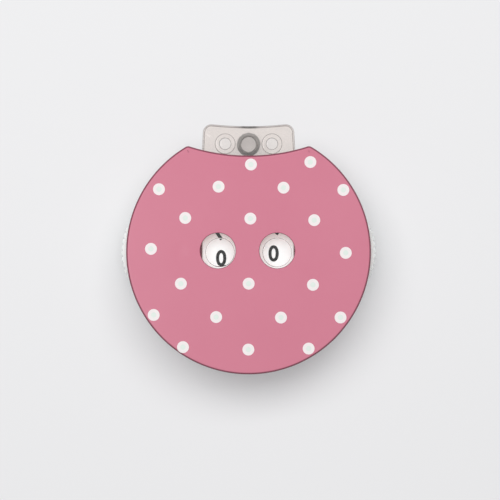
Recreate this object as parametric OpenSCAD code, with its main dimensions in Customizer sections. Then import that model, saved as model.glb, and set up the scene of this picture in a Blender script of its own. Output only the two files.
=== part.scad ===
// Clip-on row counter: a round case with two number wheels, a cover plate and a pinch clip.
// Frame: X to the right, Y towards the clear tab, Z out of the face.
// The back of the clip lies on Z = 0, and the Z axis passes through the plate's centre.

/* [Cover plate] */
// Diameter of the cover plate
plate_d = 48.4; // [46:0.1:54]
// Thickness of the cover plate
plate_t = 1.8; // [1.4:0.1:3]
// Radius of the plate's front edge
plate_edge_r = 0.5; // [0.3:0.1:1]
// Radius of the hollow in the plate's top edge
hollow_r = 38.7; // [34:0.1:50]
// How far the hollow cuts in from the plate's own circle
hollow_depth = 5.14; // [4:0.02:6]
// Radius of the two corners where the hollow meets the round edge
plate_corner_r = 1; // [0.6:0.1:1.6]
// Diameter of each window hole
window_d = 7; // [6.6:0.1:8]
// Radius of the front edge of each window hole
window_edge_r = 0.25; // [0.1:0.05:0.4]
// How far each window hole sits outwards from the lens below it
window_out = 0.2; // [0:0.05:0.3]
// How far each window hole sits above the lens below it
window_up = 0.35; // [0:0.05:0.4]
// Diameter of the locating pins behind the plate
plate_pin_d = 2; // [1.4:0.1:2.6]
// Length of the locating pins
plate_pin_len = 0.7; // [0.4:0.1:0.8]

/* [Case] */
// How far the case stops short of the plate's edge
case_inset = 0.4; // [0.2:0.1:0.6]
// Thickness of the case's side wall
wall_t = 1.2; // [0.9:0.1:1.6]
// Thickness of the case's back
floor_t = 1.2; // [0.9:0.1:1.5]
// Thickness of the case's front
roof_t = 1.4; // [1.3:0.1:1.8]
// Height of the rear shell
rear_h = 3.4; // [3.2:0.1:4]
// Gap between a wheel's faces and the slots in the case's side
slot_gap = 0.4; // [0.2:0.1:0.4]
// Radius of the rear shell's back edge
back_edge_r = 0.8; // [0.3:0.1:1]
// Height of the lip by which the rear shell locates the front one
lip_h = 0.6; // [0.4:0.1:0.8]
// Gap between a wheel and the case all round it
well_gap = 0.5; // [0.3:0.1:0.8]
// Thickness of the ring walls and ribs inside the case
rib_t = 0.9; // [0.7:0.1:1.1]
// How far the ring walls stop short of the parting plane
rib_gap = 0.5; // [0.3:0.1:0.8]
// Diameter of the pegs that join the shells
peg_d = 2.4; // [1.8:0.1:2.8]
// How far a peg stands into the front shell
peg_len = 1.1; // [0.8:0.1:1.2]
// Wall of the socket round a peg
peg_wall = 1; // [0.7:0.1:1.2]
// Distance of the upper peg above the middle
peg_up = 13; // [12:0.5:14]
// Distance of the lower peg below the middle
peg_down = 16; // [14:0.5:19]

/* [Lenses] */
// Diameter of each lens
lens_d = 5.8; // [5:0.1:5.8]
// How far a lens stands above the front shell
lens_h = 1.2; // [0.8:0.1:1.7]
// Radius of the edge round each lens's face
lens_edge_r = 0.2; // [0.1:0.05:0.4]
// Distance of a lens from its wheel's axis
lens_ring_r = 7.85; // [7.5:0.05:8]
// Distance of a lens below the wheels' axes
lens_down = 0.1; // [0:0.05:0.3]

/* [Tab] */
// Width of the tab across its top
tab_w = 18.2; // [16.5:0.1:20]
// Widening of the tab on each side, down to the plate
tab_flare = 0.3; // [0:0.05:0.5]
// How far the tab's corners stand above the bottom of the hollow
tab_h = 6.55; // [5.6:0.05:7.5]
// Depth of the dip in the tab's top edge
tab_dip = 0.6; // [0.3:0.1:0.9]
// Radius of the tab's corners
tab_corner_r = 1.7; // [1:0.1:2]
// Thickness of each of the tab's two layers
tab_t = 1.5; // [1.2:0.1:1.6]
// How much smaller the front layer is than the rear one, on each side
tab_step = 0.3; // [0.1:0.05:0.4]
// Distance of each tab pin from the middle
tab_pin_x = 4.64; // [4.4:0.02:5.2]
// Diameter of the tab pins
tab_pin_d = 2.4; // [1.8:0.1:2.6]
// Diameter of the raised ring round a tab pin
tab_ring_d = 4.1; // [3.8:0.1:4.2]
// Height of the raised ring
tab_ring_h = 0.3; // [0.2:0.05:0.5]

/* [Number wheels] */
// Diameter of a number wheel
wheel_d = 23.6; // [22:0.1:24]
// Thickness of a number wheel
wheel_t = 2.4; // [2.2:0.1:2.6]
// How far a wheel stands out past the plate, to be turned by a thumb
wheel_reach = 1.1; // [0.8:0.1:1.8]
// Number of grip teeth round a wheel
grip_count = 60; // [40:10:80]
// Depth of the grip teeth
grip_depth = 0.35; // [0.2:0.05:0.5]
// Chamfer on a wheel's edges
wheel_chamfer = 0.25; // [0.1:0.05:0.4]
// Thickness of a wheel's web
web_t = 1.1; // [0.9:0.1:1.3]
// Width of a wheel's rim
rim_w = 1.9; // [1.5:0.1:2.3]
// Diameter of a wheel's hub
hub_d = 6.4; // [5.6:0.1:7]
// Diameter of the post that a wheel turns on
post_d = 3; // [2.4:0.1:3.4]
// Height of the shoulder that a wheel rides on
shoulder_h = 1; // [0.9:0.05:1.2]
// Width of the shoulder round the post
shoulder_w = 0.9; // [0.6:0.1:1.1]

/* [Click springs] */
// Number of clicks in a turn, one for each figure
click_count = 10; // [10:1:10]
// Mean radius of the ring of click notches
click_ring_r = 5.7; // [5.4:0.1:6]
// Width of the ring of click notches
click_ring_w = 2.4; // [2:0.1:2.6]
// Depth of a click notch
click_notch = 0.5; // [0.3:0.05:0.7]
// Thickness of the spring strip
click_t = 0.2; // [0.15:0.01:0.25]
// Width of the spring strip
click_w = 1.8; // [1.4:0.1:2]
// Length of the strip from its rivet to its ridge
click_arm = 6; // [5.4:0.1:6.6]
// Length of the strip past its rivet
click_foot = 1.2; // [1:0.1:1.5]
// Diameter of the moulded rivet that holds a strip
rivet_d = 0.9; // [0.7:0.1:1]
// How far the rivet's head spreads past its shank
rivet_lip = 0.4; // [0.2:0.1:0.5]
// Thickness of the rivet's head
rivet_head_h = 0.3; // [0.2:0.05:0.4]

/* [Pinch clip] */
// Thickness of the clip's lever
lever_t = 1.6; // [1.4:0.1:2]
// Gap between the lever and the case's back
throat = 2.4; // [2.2:0.1:2.8]
// Width of the lever's arm at the hinge
arm_w = 11.8; // [10:0.1:12]
// Width of the lever's arm at the jaw
jaw_w = 9; // [7:0.1:10]
// Distance from the hinge to the end of the jaw
arm_len = 30; // [26:0.5:32]
// Length of the toothed part of the jaw
jaw_len = 4; // [3.2:0.1:5]
// Number of teeth on the jaw
tooth_count = 4; // [3:1:5]
// Height of the jaw's teeth
tooth_h = 0.7; // [0.4:0.05:0.9]
// Thickness of the arm's web, between its ribs
arm_web_t = 0.9; // [0.7:0.05:1.2]
// Width of the ribs along the arm
arm_rib_w = 1.3; // [1:0.1:1.6]
// Radius of the inside corners of the lever
lever_fillet_r = 0.6; // [0.3:0.05:0.6]
// Distance of the hinge below the bottom of the hollow
hinge_in = 4.5; // [4.2:0.1:5]
// Diameter of the hinge pin
hinge_pin_d = 1.6; // [1.2:0.1:1.8]
// Wall of the lever's knuckle round its bore
knuckle_wall = 0.65; // [0.5:0.05:0.7]
// Thickness of each hinge ear
ear_t = 2; // [1.5:0.1:2.4]
// Wall of each ear round the hinge pin
ear_wall = 0.9; // [0.7:0.1:1]

/* [Clip spring] */
// Outer diameter of the coil spring at the lever
spring_d = 4.8; // [4.4:0.1:5]
// Outer diameter of the coil spring at the tab
spring_tab_d = 3.7; // [3.4:0.1:4.2]
// Wire diameter of the coil spring
spring_wire = 0.45; // [0.35:0.05:0.5]
// Working turns of the coil spring
spring_turns = 3; // [2.5:0.25:3.5]
// Height of the seats that hold the spring's ends
seat_h = 0.8; // [0.5:0.1:0.9]

/* [Fits] */
// Radial clearance of what turns on a post or pin
running_clearance = 0.05; // [0.03:0.01:0.08]
// Radial clearance of what is pressed together
press_clearance = 0.01; // [0.01:0.01:0.03]
// Gap between the shells' lip and its rebate
lip_gap = 0.05; // [0.02:0.01:0.1]
// End play of each wheel on its post
end_play = 0.05; // [0.03:0.01:0.1]
// Gap between the click ridge and the notched ring
click_gap = 0.05; // [0.03:0.01:0.1]
// Gap between the closed jaw and the case's back
jaw_gap = 0.1; // [0.05:0.01:0.2]
// Side gap between the lever and each ear
ear_gap = 0.25; // [0.15:0.05:0.4]
// Gap between the finger pad and the ears
pad_gap = 0.75; // [0.6:0.05:1]
// Gap between the knuckle and the case's back
knuckle_gap = 0.15; // [0.1:0.01:0.3]
// Gap between a lens and the edge of its window hole
lens_gap = 0.05; // [0.03:0.01:0.1]
// Gap between the spring and what it presses on
spring_gap = 0.03; // [0.02:0.01:0.05]
// Gap between the spring and the seats that it stands round
seat_gap = 0.15; // [0.1:0.05:0.25]
// Gap past the end of each peg and post in its socket
socket_gap = 0.1; // [0.05:0.05:0.2]

/* [Hidden] */
$fn = 96;

// Cover plate and case
plate_r = plate_d / 2;
hollow_y = plate_r - hollow_depth;
hollow_cy = hollow_y + hollow_r;
back_z = lever_t + throat;
floor_z = back_z + floor_t;
split_z = back_z + rear_h;

// Number wheels
wheel_r = wheel_d / 2;
wheel_x = plate_r + wheel_reach - wheel_r;
wheel_z = floor_z + shoulder_h + end_play;
wheel_top = wheel_z + wheel_t;
well_r = wheel_r + well_gap;
post_r = post_d / 2;
roof_z = wheel_top + well_gap;
face_z = roof_z + roof_t;
top_z = face_z + plate_t;

// Tab
tab_y = hollow_y + tab_h;
dip_r = (pow(tab_w / 2, 2) + pow(tab_dip, 2)) / (2 * tab_dip);
dip_cy = tab_y - tab_dip + dip_r;
tab_root = hollow_y - case_inset - wall_t;
least_corner_r = 0.3;
tab_back_z = split_z - tab_t;
tab_face_z = split_z + tab_t;

// Lenses and windows
lens_x = wheel_x - lens_ring_r;
window_x = lens_x + window_out;
window_y = window_up - lens_down;
window_fit_r = lens_d / 2 + norm([window_out, window_up]) + lens_gap;
window_r = max(window_d / 2, window_fit_r);

// Pinch clip
hinge_y = hollow_y - hinge_in;
hinge_pin_r = hinge_pin_d / 2;
knuckle_r = hinge_pin_r + running_clearance + knuckle_wall;
ear_r = hinge_pin_r + press_clearance + ear_wall;
hinge_z = back_z - knuckle_gap - knuckle_r;
ear_x = arm_w / 2 + ear_gap;
pad_y = hinge_y + ear_r + pad_gap;
jaw_end = hinge_y - arm_len;
jaw_in = jaw_end + jaw_len;
jaw_z = back_z - jaw_gap;
base_z = jaw_z - tooth_h;
ramp_y = jaw_in + base_z - lever_t;
tip_bevel = lever_t / 4;
jaw_corner_r = 2;

// Coil spring, from the lever to the tab
spring_y = hollow_y + spring_d / 2;
dead_turns = 0.75;
dead_gap = 0.02;
coil_turns = spring_turns + 2 * dead_turns;
coil_foot = lever_t + spring_gap + spring_wire / 2;
coil_rise = tab_back_z - spring_gap - spring_wire / 2 - coil_foot;
dead_pitch = spring_wire + dead_gap;
coil_pitch = (coil_rise - 2 * dead_turns * dead_pitch) / spring_turns;
coil_steps = 24;
wire_sides = 8;

// Small amounts by which a cutter or a joined piece runs past a face
past = 1;
bite = 0.2;

function unit(v) = v / norm(v);

// Centre of a corner circle of radius r that lies inside a circle of radius ra about the origin
// and outside a circle of radius rb about [0, cy]
function corner_centre(ra, rb, cy, r) =
    let (y = (pow(ra - r, 2) - pow(rb + r, 2) + cy * cy) / (2 * cy))
    [sqrt(pow(ra - r, 2) - y * y), y];

function flip(v) = [-v.x, v.y];

// The kite between a corner's centre and its two points of tangency, run out past the sharp corner
module corner_zone(c, u, v, r)
    polygon([c, c + r * u, c + 1.5 * r * (u + v) / (1 + u * v), c + r * v]);

// Rounds one corner of a flat shape to the arc of radius r about c, from direction u to direction v
module round_corner(c, u, v, r) {
    difference() {
        children();
        corner_zone(c, u, v, r);
    }
    intersection() {
        translate(c) circle(r);
        corner_zone(c, u, v, r);
    }
}

// The plate's outline, inset all round: a disc with a hollow in its top edge and two round corners
module notched_disc(inset) {
    ra = plate_r - inset;
    rb = hollow_r + inset;
    r = max(plate_corner_r - inset, least_corner_r);
    c = corner_centre(ra, rb, hollow_cy, r);
    u = unit(c);
    v = unit([0, hollow_cy] - c);
    round_corner(c, u, v, r)
    round_corner(flip(c), flip(u), flip(v), r)
    difference() {
        circle(ra);
        translate([0, hollow_cy]) circle(rb);
    }
}

// The tab's outline, inset all round: near straight sides, a dipped top edge and round corners
module tab_outline(inset, from_y) {
    half = tab_w / 2 - inset;
    rd = dip_r + inset;
    r = max(tab_corner_r - inset, least_corner_r);
    cx = half - r;
    c = [cx, dip_cy - sqrt(pow(rd + r, 2) - cx * cx)];
    u = [1, 0];
    v = unit([0, dip_cy] - c);
    root = half + tab_flare;
    round_corner(c, u, v, r)
    round_corner(flip(c), flip(u), flip(v), r)
    difference() {
        polygon([[-root, from_y], [root, from_y], [half, c.y], [half, tab_y], [-half, tab_y],
            [-half, c.y]]);
        translate([0, dip_cy]) circle(rd);
    }
}

// Takes the edge off a disc of radius r at its foot, leaving an arc of radius e
module rim_cutter(r, e)
    rotate_extrude()
        difference() {
            translate([r - e, -past]) square([e + past, e + past]);
            translate([r - e, e]) circle(e);
        }

// Takes the edge off the rim of a hole of radius r at its foot, leaving an arc of radius e
module hole_cutter(r, e)
    rotate_extrude()
        difference() {
            translate([max(r - past, 0), -past]) square([e + min(past, r), e + past]);
            translate([r + e, e]) circle(e);
        }

// Both edge cutters for the plate's outline, inset, at the foot of a slab
module outline_cutter(inset, e) {
    rim_cutter(plate_r - inset, e);
    translate([0, hollow_cy, 0]) hole_cutter(hollow_r + inset, e);
}

// Places a piece at each wheel
module at_wheels()
    for (side = [-1, 1])
        translate([side * wheel_x, 0, 0]) children();

// Places a piece at each tab pin
module at_tab_pins()
    for (side = [-1, 1])
        translate([side * tab_pin_x, spring_y, 0]) children();

// Places a piece at each of the two pegs that join the shells
module at_pegs() {
    translate([0, peg_up, 0]) children();
    translate([0, -peg_down, 0]) children();
}

// Extrudes a flat shape drawn in Y and Z along X, centred, to a width
module across(width)
    rotate([90, 0, 90]) linear_extrude(width, center = true) children();

// The flat shape of a right-angled vee groove, cut to a depth from below
module vee(depth)
    polygon([[-depth, -past], [depth, -past], [depth, 0], [0, depth], [-depth, 0]]);

// The ring walls round the wheels and the rib between them, of a height
module inner_walls(height)
    linear_extrude(height)
        intersection() {
            union() {
                difference() {
                    at_wheels() circle(well_r + rib_t);
                    at_wheels() circle(well_r);
                }
                translate([-rib_t / 2, -peg_down]) square([rib_t, peg_down + peg_up]);
            }
            notched_disc(case_inset + wall_t / 2);
        }

// The room for both wheels, which also opens the slots in the case's side
module wheel_room()
    translate([0, 0, wheel_z - slot_gap])
        at_wheels() cylinder(r = well_r, h = wheel_t + 2 * slot_gap);

// A lens: a clear block with a flat face and a round edge
module lens()
    difference() {
        cylinder(d = lens_d, h = lens_h + bite);
        translate([0, 0, lens_h + bite]) mirror([0, 0, 1]) rim_cutter(lens_d / 2, lens_edge_r);
    }

module front_cover() color("palevioletred") {
    difference() {
        translate([0, 0, face_z]) linear_extrude(plate_t) notched_disc(0);
        translate([0, 0, top_z]) mirror([0, 0, 1]) outline_cutter(0, plate_edge_r);
        for (side = [-1, 1])
            translate([side * window_x, window_y, 0]) {
                translate([0, 0, face_z - past]) cylinder(r = window_r, h = plate_t + 2 * past);
                translate([0, 0, top_z]) mirror([0, 0, 1]) hole_cutter(window_r, window_edge_r);
            }
    }
    translate([0, 0, face_z - plate_pin_len])
        at_wheels() cylinder(d = plate_pin_d, h = plate_pin_len + bite);
}

module front_shell() color("gainsboro", 0.5)
    difference() {
        union() {
            difference() {
                union() {
                    translate([0, 0, split_z]) linear_extrude(face_z - split_z) notched_disc(case_inset);
                    translate([0, 0, split_z]) linear_extrude(tab_t) tab_outline(tab_step, tab_root);
                }
                translate([0, 0, split_z - past]) {
                    linear_extrude(roof_z - split_z + past) notched_disc(case_inset + wall_t);
                    linear_extrude(lip_h + lip_gap + past) notched_disc(case_inset + wall_t / 2);
                }
                wheel_room();
            }
            for (side = [-1, 1])
                translate([side * lens_x, -lens_down, face_z - bite]) lens();
            at_tab_pins() translate([0, 0, split_z]) cylinder(d = tab_ring_d, h = tab_t + tab_ring_h);
            translate([0, 0, split_z + rib_gap]) inner_walls(roof_z - split_z - rib_gap + bite);
            at_pegs() translate([0, 0, split_z])
                cylinder(r = peg_d / 2 + peg_wall, h = roof_z - split_z + bite);
            translate([0, 0, wheel_top + end_play])
                at_wheels() cylinder(r = post_r + shoulder_w, h = well_gap + bite);
        }
        at_pegs() translate([0, 0, split_z - past])
            cylinder(r = peg_d / 2 + press_clearance, h = peg_len + socket_gap + past);
        at_wheels() translate([0, 0, wheel_top])
            cylinder(r = post_r + press_clearance, h = well_gap + socket_gap);
        at_wheels() translate([0, 0, face_z - plate_pin_len - socket_gap])
            cylinder(r = plate_pin_d / 2 + press_clearance, h = plate_pin_len + socket_gap + past);
        at_tab_pins() translate([0, 0, split_z - past])
            cylinder(r = tab_pin_d / 2 + press_clearance, h = tab_t + tab_ring_h + 2 * past);
    }

module hinge_ears()
    for (side = [-1, 1])
        translate([side * (ear_x + ear_t / 2), 0, 0])
            across(ear_t) {
                translate([hinge_y, hinge_z]) circle(ear_r);
                translate([hinge_y - ear_r, hinge_z]) square([2 * ear_r, back_z + bite - hinge_z]);
            }

module rear_shell() color("gainsboro", 0.5)
    difference() {
        union() {
            difference() {
                union() {
                    translate([0, 0, back_z]) linear_extrude(rear_h) notched_disc(case_inset);
                    translate([0, 0, tab_back_z]) linear_extrude(tab_t) tab_outline(0, tab_root);
                    translate([0, 0, back_z])
                        linear_extrude(rear_h + lip_h) notched_disc(case_inset + wall_t / 2 + lip_gap);
                }
                translate([0, 0, back_z]) outline_cutter(case_inset, back_edge_r);
                translate([0, 0, floor_z])
                    linear_extrude(rear_h + lip_h) notched_disc(case_inset + wall_t);
                wheel_room();
            }
            translate([0, 0, floor_z - bite]) inner_walls(split_z - floor_z - rib_gap + bite);
            translate([0, 0, floor_z - bite]) {
                at_pegs() {
                    cylinder(r = peg_d / 2 + peg_wall, h = split_z - floor_z + bite);
                    cylinder(r = peg_d / 2, h = split_z - floor_z + bite + peg_len);
                }
                at_wheels() {
                    cylinder(r = post_r + shoulder_w, h = shoulder_h + bite);
                    cylinder(r = post_r, h = roof_z - floor_z + bite);
                }
                rivets();
            }
            at_tab_pins() translate([0, 0, tab_back_z])
                cylinder(d = tab_pin_d, h = 2 * tab_t + tab_ring_h);
            translate([0, spring_y, tab_back_z - seat_h])
                cylinder(r = spring_tab_d / 2 - spring_wire - seat_gap, h = seat_h + bite);
            hinge_ears();
        }
        translate([0, hinge_y, hinge_z])
            rotate([0, 90, 0])
                cylinder(r = hinge_pin_r + press_clearance, h = 2 * (ear_x + ear_t + past), center = true);
    }

// Moulded rivets that hold the click springs, with a flat head over each strip
module rivets()
    for (side = [-1, 1])
        translate([side * (wheel_x + click_arm), -click_ring_r, 0]) {
            cylinder(d = rivet_d, h = bite + click_t + rivet_head_h);
            translate([0, 0, bite + click_t]) cylinder(d = rivet_d + 2 * rivet_lip, h = rivet_head_h);
        }

// A wheel's toothed outline: a flat land and a vee for each tooth
module grip_outline()
    polygon([for (i = [0 : grip_count - 1], step = [0, 0.5, 0.75])
        let (a = 360 * (i + step) / grip_count, r = wheel_r - (step > 0.5 ? grip_depth : 0))
        r * [cos(a), sin(a)]]);

// A groove cut into a wheel's back, between two radii
module wheel_groove(from_r, to_r)
    rotate_extrude()
        translate([from_r, -past]) square([to_r - from_r, wheel_t - web_t + past]);

module click_notches()
    for (i = [0 : click_count - 1])
        rotate(360 * i / click_count - 90)
            translate([click_ring_r, 0, 0])
                across(click_ring_w + bite)
                    vee(click_notch);

module number_wheel()
    difference() {
        intersection() {
            linear_extrude(wheel_t) grip_outline();
            rotate_extrude()
                polygon([[0, 0], [wheel_r - wheel_chamfer, 0], [wheel_r + bite, wheel_chamfer + bite],
                    [wheel_r + bite, wheel_t - wheel_chamfer - bite], [wheel_r - wheel_chamfer, wheel_t],
                    [0, wheel_t]]);
        }
        translate([0, 0, -past]) cylinder(r = post_r + running_clearance, h = wheel_t + 2 * past);
        wheel_groove(hub_d / 2, click_ring_r - click_ring_w / 2);
        wheel_groove(click_ring_r + click_ring_w / 2, wheel_r - rim_w);
        click_notches();
    }

module tens_wheel() color("white")
    translate([-wheel_x, 0, wheel_z]) number_wheel();

module ones_wheel() color("white")
    translate([wheel_x, 0, wheel_z]) number_wheel();

// A bent strip, drawn from its rivet towards +X, whose ridge stands just short of the notched ring
module click_spring() {
    ridge_h = wheel_z - click_gap - floor_z - click_t;
    under = [[-click_foot, 0], [click_foot, 0], [click_arm - click_foot, ridge_h / 2], [click_arm, ridge_h],
        [click_arm + click_foot, ridge_h / 2]];
    last = len(under) - 1;
    over = [for (i = [last : -1 : 0]) under[i] + [0, click_t]];
    difference() {
        rotate([90, 0, 0]) linear_extrude(click_w, center = true) polygon(concat(under, over));
        translate([0, 0, -past])
            cylinder(r = rivet_d / 2 + press_clearance, h = click_t + 2 * past);
    }
}

module tens_click_spring() color("silver")
    translate([-wheel_x - click_arm, -click_ring_r, floor_z]) click_spring();

module ones_click_spring() color("silver")
    translate([wheel_x + click_arm, -click_ring_r, floor_z]) mirror([1, 0, 0]) click_spring();

// The lever's outline: a finger pad under the tab, then an arm that narrows to the jaw
module lever_outline() {
    r = jaw_corner_r;
    c = [jaw_w / 2 - r, jaw_end + r];
    f = lever_fillet_r;
    tab_outline(0, pad_y);
    for (side = [-1, 1])
        translate([side * arm_w / 2, pad_y])
            difference() {
                translate([-f, -f]) square([2 * f, 2 * f]);
                translate([side * f, -f]) circle(f);
            }
    round_corner(c, [1, 0], [0, -1], r)
    round_corner(flip(c), [-1, 0], [0, -1], r)
    polygon([[-arm_w / 2, pad_y + bite], [-arm_w / 2, hinge_y - knuckle_r], [-jaw_w / 2, c.y],
        [-jaw_w / 2, jaw_end], [jaw_w / 2, jaw_end], [jaw_w / 2, c.y], [arm_w / 2, hinge_y - knuckle_r],
        [arm_w / 2, pad_y + bite]]);
}

// The lever seen from its side: flat, then a ramp up to a jaw with teeth
module lever_profile() {
    pitch = jaw_len / tooth_count;
    teeth = [for (i = [0 : tooth_count - 1], step = [0, 0.5])
        [jaw_in - (i + step) * pitch, step > 0 ? jaw_z : base_z]];
    polygon(concat([[tab_y + past, 0], [tab_y + past, lever_t], [ramp_y, lever_t]], teeth,
        [[jaw_end, base_z], [jaw_end, tip_bevel], [jaw_end + tip_bevel, 0]]));
}

// Half the arm's width at a place along Y
function arm_half(y) =
    let (f = (hinge_y - knuckle_r - y) / (hinge_y - knuckle_r - jaw_end - jaw_corner_r))
    (arm_w * (1 - f) + jaw_w * f) / 2;

// The two hollows between the arm's side ribs and its middle rib
module arm_hollows() {
    from_y = ramp_y + arm_rib_w;
    to_y = hinge_y - knuckle_r - arm_rib_w;
    r = lever_fillet_r;
    for (side = [-1, 1])
        translate([0, 0, arm_web_t]) linear_extrude(lever_t)
            offset(r = r, $fn = 32) offset(delta = -r)
                polygon([[side * arm_rib_w / 2, from_y], [side * (arm_half(from_y) - arm_rib_w), from_y],
                    [side * (arm_half(to_y) - arm_rib_w), to_y], [side * arm_rib_w / 2, to_y]]);
}

module clip_lever() color("gainsboro", 0.5)
    difference() {
        union() {
            intersection() {
                linear_extrude(back_z) lever_outline();
                across(tab_w + 2 * tab_flare + 2 * past) lever_profile();
            }
            across(arm_w) {
                translate([hinge_y, hinge_z]) circle(knuckle_r);
                translate([hinge_y - knuckle_r, lever_t / 2])
                    square([2 * knuckle_r, hinge_z - lever_t / 2]);
            }
            translate([0, spring_y, lever_t - bite])
                cylinder(r = spring_d / 2 - spring_wire - seat_gap, h = seat_h + bite);
        }
        translate([0, hinge_y, hinge_z]) rotate([0, 90, 0])
            cylinder(r = hinge_pin_r + running_clearance, h = arm_w + 2 * past, center = true);
        arm_hollows();
    }

module hinge_pin() color("silver") {
    half = ear_x + ear_t;
    r = hinge_pin_r;
    e = r / 4;
    translate([0, hinge_y, hinge_z])
        rotate([0, 90, 0])
            rotate_extrude()
                polygon([[0, -half], [r - e, -half], [r, e - half], [r, half - e], [r - e, half],
                    [0, half]]);
}

// Height of the coil's centre line after t turns: close wound at both ends, open between them
function coil_z(t) =
    t < dead_turns ? t * dead_pitch :
    t > coil_turns - dead_turns ? coil_rise - (coil_turns - t) * dead_pitch :
    dead_turns * dead_pitch + (t - dead_turns) * coil_pitch;

// A point of the wire's surface after t turns, at angle a round the wire
function coil_point(t, a) =
    let (f = t / coil_turns, mean_d = spring_d * (1 - f) + spring_tab_d * f - spring_wire)
    let (r = (mean_d + spring_wire * cos(a)) / 2, turn = 360 * t)
    [r * cos(turn), r * sin(turn), coil_z(t) + spring_wire / 2 * sin(a)];

module clip_spring() color("silver") {
    rings = ceil(coil_turns * coil_steps);
    points = [for (i = [0 : rings], j = [0 : wire_sides - 1])
        coil_point(coil_turns * i / rings, 360 * j / wire_sides)];
    sides = [for (i = [0 : rings - 1], j = [0 : wire_sides - 1])
        let (a = i * wire_sides + j, b = i * wire_sides + (j + 1) % wire_sides)
        [a, a + wire_sides, b + wire_sides, b]];
    foot = [[for (j = [0 : wire_sides - 1]) j]];
    head = [[for (j = [wire_sides - 1 : -1 : 0]) rings * wire_sides + j]];
    translate([0, spring_y, coil_foot]) polyhedron(points, concat(sides, foot, head));
}

front_cover();
front_shell();
rear_shell();
tens_wheel();
ones_wheel();
tens_click_spring();
ones_click_spring();
clip_lever();
hinge_pin();
clip_spring();
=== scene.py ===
from math import pi, radians, sin, cos, sqrt, atan2, ceil

import bmesh
import bpy
import numpy as np
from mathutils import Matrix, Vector
from mathutils.geometry import tessellate_polygon


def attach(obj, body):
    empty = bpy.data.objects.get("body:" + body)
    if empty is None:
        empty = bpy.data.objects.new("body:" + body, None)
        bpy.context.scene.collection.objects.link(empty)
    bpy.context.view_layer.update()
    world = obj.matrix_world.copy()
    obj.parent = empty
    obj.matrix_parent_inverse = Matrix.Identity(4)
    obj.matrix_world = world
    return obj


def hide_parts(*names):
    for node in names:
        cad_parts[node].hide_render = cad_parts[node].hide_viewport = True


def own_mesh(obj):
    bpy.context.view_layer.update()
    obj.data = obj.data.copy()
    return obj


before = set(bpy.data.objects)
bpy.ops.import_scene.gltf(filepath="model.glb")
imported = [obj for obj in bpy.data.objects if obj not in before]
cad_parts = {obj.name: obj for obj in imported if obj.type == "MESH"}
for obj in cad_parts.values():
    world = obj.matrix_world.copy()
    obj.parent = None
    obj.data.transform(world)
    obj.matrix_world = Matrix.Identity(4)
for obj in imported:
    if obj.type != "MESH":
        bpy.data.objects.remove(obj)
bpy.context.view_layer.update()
scene = bpy.context.scene
mm = 0.001  # every size below is in millimetres and becomes metres once, when its mesh is made


# small helpers for angles, grids and meshes

def fullTurn(steps):
    # angles evenly round a circle
    return np.linspace(0, 2 * pi, steps, endpoint=False)


def quarterTurn(steps):
    # angles evenly from nought to a right angle, both ends included
    return np.linspace(0, pi / 2, steps)


def rays(angles):
    # unit vectors in the plane, one for each angle
    return np.stack([np.cos(angles), np.sin(angles)], -1)


def quads(rows, cols, wrapRows=False, wrapCols=False):
    # the faces of a grid of rows x cols points, numbered row by row
    r = np.arange(rows if wrapRows else rows - 1)
    c = np.arange(cols if wrapCols else cols - 1)
    r0, c0 = np.meshgrid(r, c, indexing="ij")
    r1, c1 = (r0 + 1) % rows, (c0 + 1) % cols
    return np.stack([r0 * cols + c0, r0 * cols + c1, r1 * cols + c1, r1 * cols + c0], -1).reshape(-1, 4)


def endCaps(rows, cols):
    # one face over the first row of such a grid and one over the last
    return [list(range(cols)), list(range((rows - 1) * cols, rows * cols))]


def turned(profile, steps, centre):
    # a closed profile of (radius, height) points carried round an upright axis through centre
    around = fullTurn(steps)
    radius, height = np.asarray(profile, float).T
    x, y = np.outer(radius, np.cos(around)), np.outer(radius, np.sin(around))
    points = np.stack([x, y, np.repeat(height[:, None], steps, 1)], -1) + np.array([*centre, 0])
    return points.reshape(-1, 3), quads(len(radius), steps, wrapCols=True)


class Shell:
    # points and faces of one piece, collected block by block
    def __init__(self):
        self.points, self.faces, self.count = [], [], 0

    def add(self, points, faces):
        points = np.asarray(points, float).reshape(-1, 3)
        self.points.append(points)
        self.faces += (np.asarray(faces) + self.count).tolist()
        self.count += len(points)


def addObject(name, data):
    obj = bpy.data.objects.new(name, data)
    scene.collection.objects.link(obj)
    return obj


def evaluated(obj):
    # a new mesh: what the object shows once its modifiers have run
    bpy.context.view_layer.update()
    return bpy.data.meshes.new_from_object(obj.evaluated_get(bpy.context.evaluated_depsgraph_get()))


def meshPoints(mesh):
    points = np.empty(len(mesh.vertices) * 3)
    mesh.vertices.foreach_get("co", points)
    return points.reshape(-1, 3)


# points closer than "merge" are joined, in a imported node's mesh those closer than "nodeMerge", and
# edges under "sliver" go; a face is level where the Z of its direction reaches "level", up or down,
# and "flatWeight" is how far large faces keep their own direction in the shading
meshing = {"merge": 1e-4, "sliver": 1e-5, "nodeMerge": 5e-4, "level": 0.99999, "flatWeight": 100}


def buildMesh(name, points, faces, joined=True):
    # a mesh in metres whose faces point outwards
    mesh = bpy.data.meshes.new(name)
    mesh.from_pydata((np.asarray(points) * mm).tolist(), [], [tuple(face) for face in faces])
    bm = bmesh.new()
    bm.from_mesh(mesh)
    if joined:
        bmesh.ops.remove_doubles(bm, verts=bm.verts, dist=meshing["merge"] * mm)
        bmesh.ops.dissolve_degenerate(bm, edges=bm.edges, dist=meshing["sliver"] * mm)
    bmesh.ops.recalc_face_normals(bm, faces=bm.faces)
    bm.to_mesh(mesh)
    bm.free()
    return mesh


def joinNodeDoubles(mesh):
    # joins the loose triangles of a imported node's mesh and counts the edges that stay open
    bm = bmesh.new()
    bm.from_mesh(mesh)
    bmesh.ops.remove_doubles(bm, verts=bm.verts, dist=meshing["nodeMerge"] * mm)
    openEdges = sum(1 for edge in bm.edges if not edge.is_manifold)
    bm.to_mesh(mesh)
    bm.free()
    return openEdges


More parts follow.
